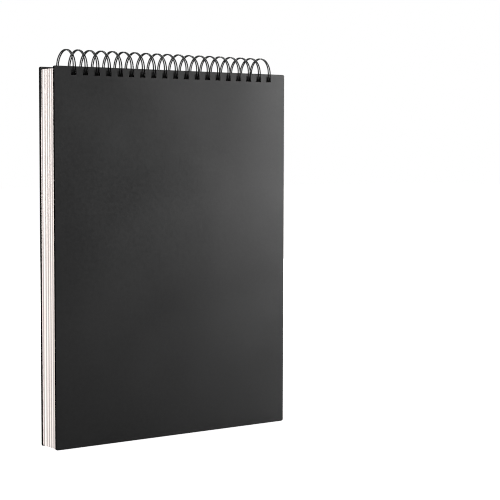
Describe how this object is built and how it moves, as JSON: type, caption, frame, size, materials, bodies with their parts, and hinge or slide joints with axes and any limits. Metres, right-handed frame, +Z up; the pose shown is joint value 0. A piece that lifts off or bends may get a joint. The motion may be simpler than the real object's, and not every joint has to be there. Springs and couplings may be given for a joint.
{
  "type": "sketchbook",
  "caption": "Upright top-bound sketchbook with stiff black covers and thick white drawing sheets on a twin-loop wire; the cover and sheets turn over the wire.",
  "frame": {"origin": "bottom centre of the standing book, mid width and mid thickness, on the surface it stands on", "axes": "+X along the width to the viewer's right when facing the front cover, +Y from the front cover to the rear cover, +Z up towards the wire binding"},
  "size_m": [0.18, 0.0222, 0.2511],
  "materials": {
    "cover_board": "stiff black board with a fine matt grain and a soft sheen",
    "paper": "uncoated off-white drawing paper, slight tooth",
    "wire": "glossy black coated steel wire"
  },
  "bodies": {
    "pad": {"rear_cover": "cover_board", "binding_wire": "wire", "sheets_13": "paper", "sheets_14": "paper", "sheets_15": "paper", "sheets_16": "paper", "sheets_17": "paper", "sheets_18": "paper"},
    "front_cover": {"front_cover": "cover_board"},
    "leaf_01": {"sheets_01": "paper"},
    "leaf_02": {"sheets_02": "paper"},
    "leaf_03": {"sheets_03": "paper"},
    "leaf_04": {"sheets_04": "paper"},
    "leaf_05": {"sheets_05": "paper"},
    "leaf_06": {"sheets_06": "paper"},
    "leaf_07": {"sheets_07": "paper"},
    "leaf_08": {"sheets_08": "paper"},
    "leaf_09": {"sheets_09": "paper"},
    "leaf_10": {"sheets_10": "paper"},
    "leaf_11": {"sheets_11": "paper"},
    "leaf_12": {"sheets_12": "paper"}
  },
  "joints": [
    {"name": "cover_turn", "type": "hinge", "parent": "pad", "child": "front_cover", "pos_m": [0, 0, 0.24012], "axis": [-1, 0, 0], "range_deg": [0, 180]},
    {"name": "leaf_turn_01", "type": "hinge", "parent": "pad", "child": "leaf_01", "pos_m": [0, 0, 0.24012], "axis": [-1, 0, 0], "range_deg": [0, 174.6]},
    {"name": "leaf_turn_02", "type": "hinge", "parent": "pad", "child": "leaf_02", "pos_m": [0, 0, 0.24012], "axis": [-1, 0, 0], "range_deg": [0, 170.1]},
    {"name": "leaf_turn_03", "type": "hinge", "parent": "pad", "child": "leaf_03", "pos_m": [0, 0, 0.24012], "axis": [-1, 0, 0], "range_deg": [0, 165.6]},
    {"name": "leaf_turn_04", "type": "hinge", "parent": "pad", "child": "leaf_04", "pos_m": [0, 0, 0.24012], "axis": [-1, 0, 0], "range_deg": [0, 160.2]},
    {"name": "leaf_turn_05", "type": "hinge", "parent": "pad", "child": "leaf_05", "pos_m": [0, 0, 0.24012], "axis": [-1, 0, 0], "range_deg": [0, 153.9]},
    {"name": "leaf_turn_06", "type": "hinge", "parent": "pad", "child": "leaf_06", "pos_m": [0, 0, 0.24012], "axis": [-1, 0, 0], "range_deg": [0, 145.8]},
    {"name": "leaf_turn_07", "type": "hinge", "parent": "pad", "child": "leaf_07", "pos_m": [0, 0, 0.24012], "axis": [-1, 0, 0], "range_deg": [0, 135.9]},
    {"name": "leaf_turn_08", "type": "hinge", "parent": "pad", "child": "leaf_08", "pos_m": [0, 0, 0.24012], "axis": [-1, 0, 0], "range_deg": [0, 123.3]},
    {"name": "leaf_turn_09", "type": "hinge", "parent": "pad", "child": "leaf_09", "pos_m": [0, 0, 0.24012], "axis": [-1, 0, 0], "range_deg": [0, 106.2]},
    {"name": "leaf_turn_10", "type": "hinge", "parent": "pad", "child": "leaf_10", "pos_m": [0, 0, 0.24012], "axis": [-1, 0, 0], "range_deg": [0, 82.8]},
    {"name": "leaf_turn_11", "type": "hinge", "parent": "pad", "child": "leaf_11", "pos_m": [0, 0, 0.24012], "axis": [-1, 0, 0], "range_deg": [0, 52.2]},
    {"name": "leaf_turn_12", "type": "hinge", "parent": "pad", "child": "leaf_12", "pos_m": [0, 0, 0.24012], "axis": [-1, 0, 0], "range_deg": [0, 21.6]}
  ],
  "couplings": [
    {"joint": "leaf_turn_01", "follows": "cover_turn", "ratio": 0.97},
    {"joint": "leaf_turn_02", "follows": "cover_turn", "ratio": 0.945},
    {"joint": "leaf_turn_03", "follows": "cover_turn", "ratio": 0.92},
    {"joint": "leaf_turn_04", "follows": "cover_turn", "ratio": 0.89},
    {"joint": "leaf_turn_05", "follows": "cover_turn", "ratio": 0.855},
    {"joint": "leaf_turn_06", "follows": "cover_turn", "ratio": 0.81},
    {"joint": "leaf_turn_07", "follows": "cover_turn", "ratio": 0.755},
    {"joint": "leaf_turn_08", "follows": "cover_turn", "ratio": 0.685},
    {"joint": "leaf_turn_09", "follows": "cover_turn", "ratio": 0.59},
    {"joint": "leaf_turn_10", "follows": "cover_turn", "ratio": 0.46},
    {"joint": "leaf_turn_11", "follows": "cover_turn", "ratio": 0.29},
    {"joint": "leaf_turn_12", "follows": "cover_turn", "ratio": 0.12}
  ]
}
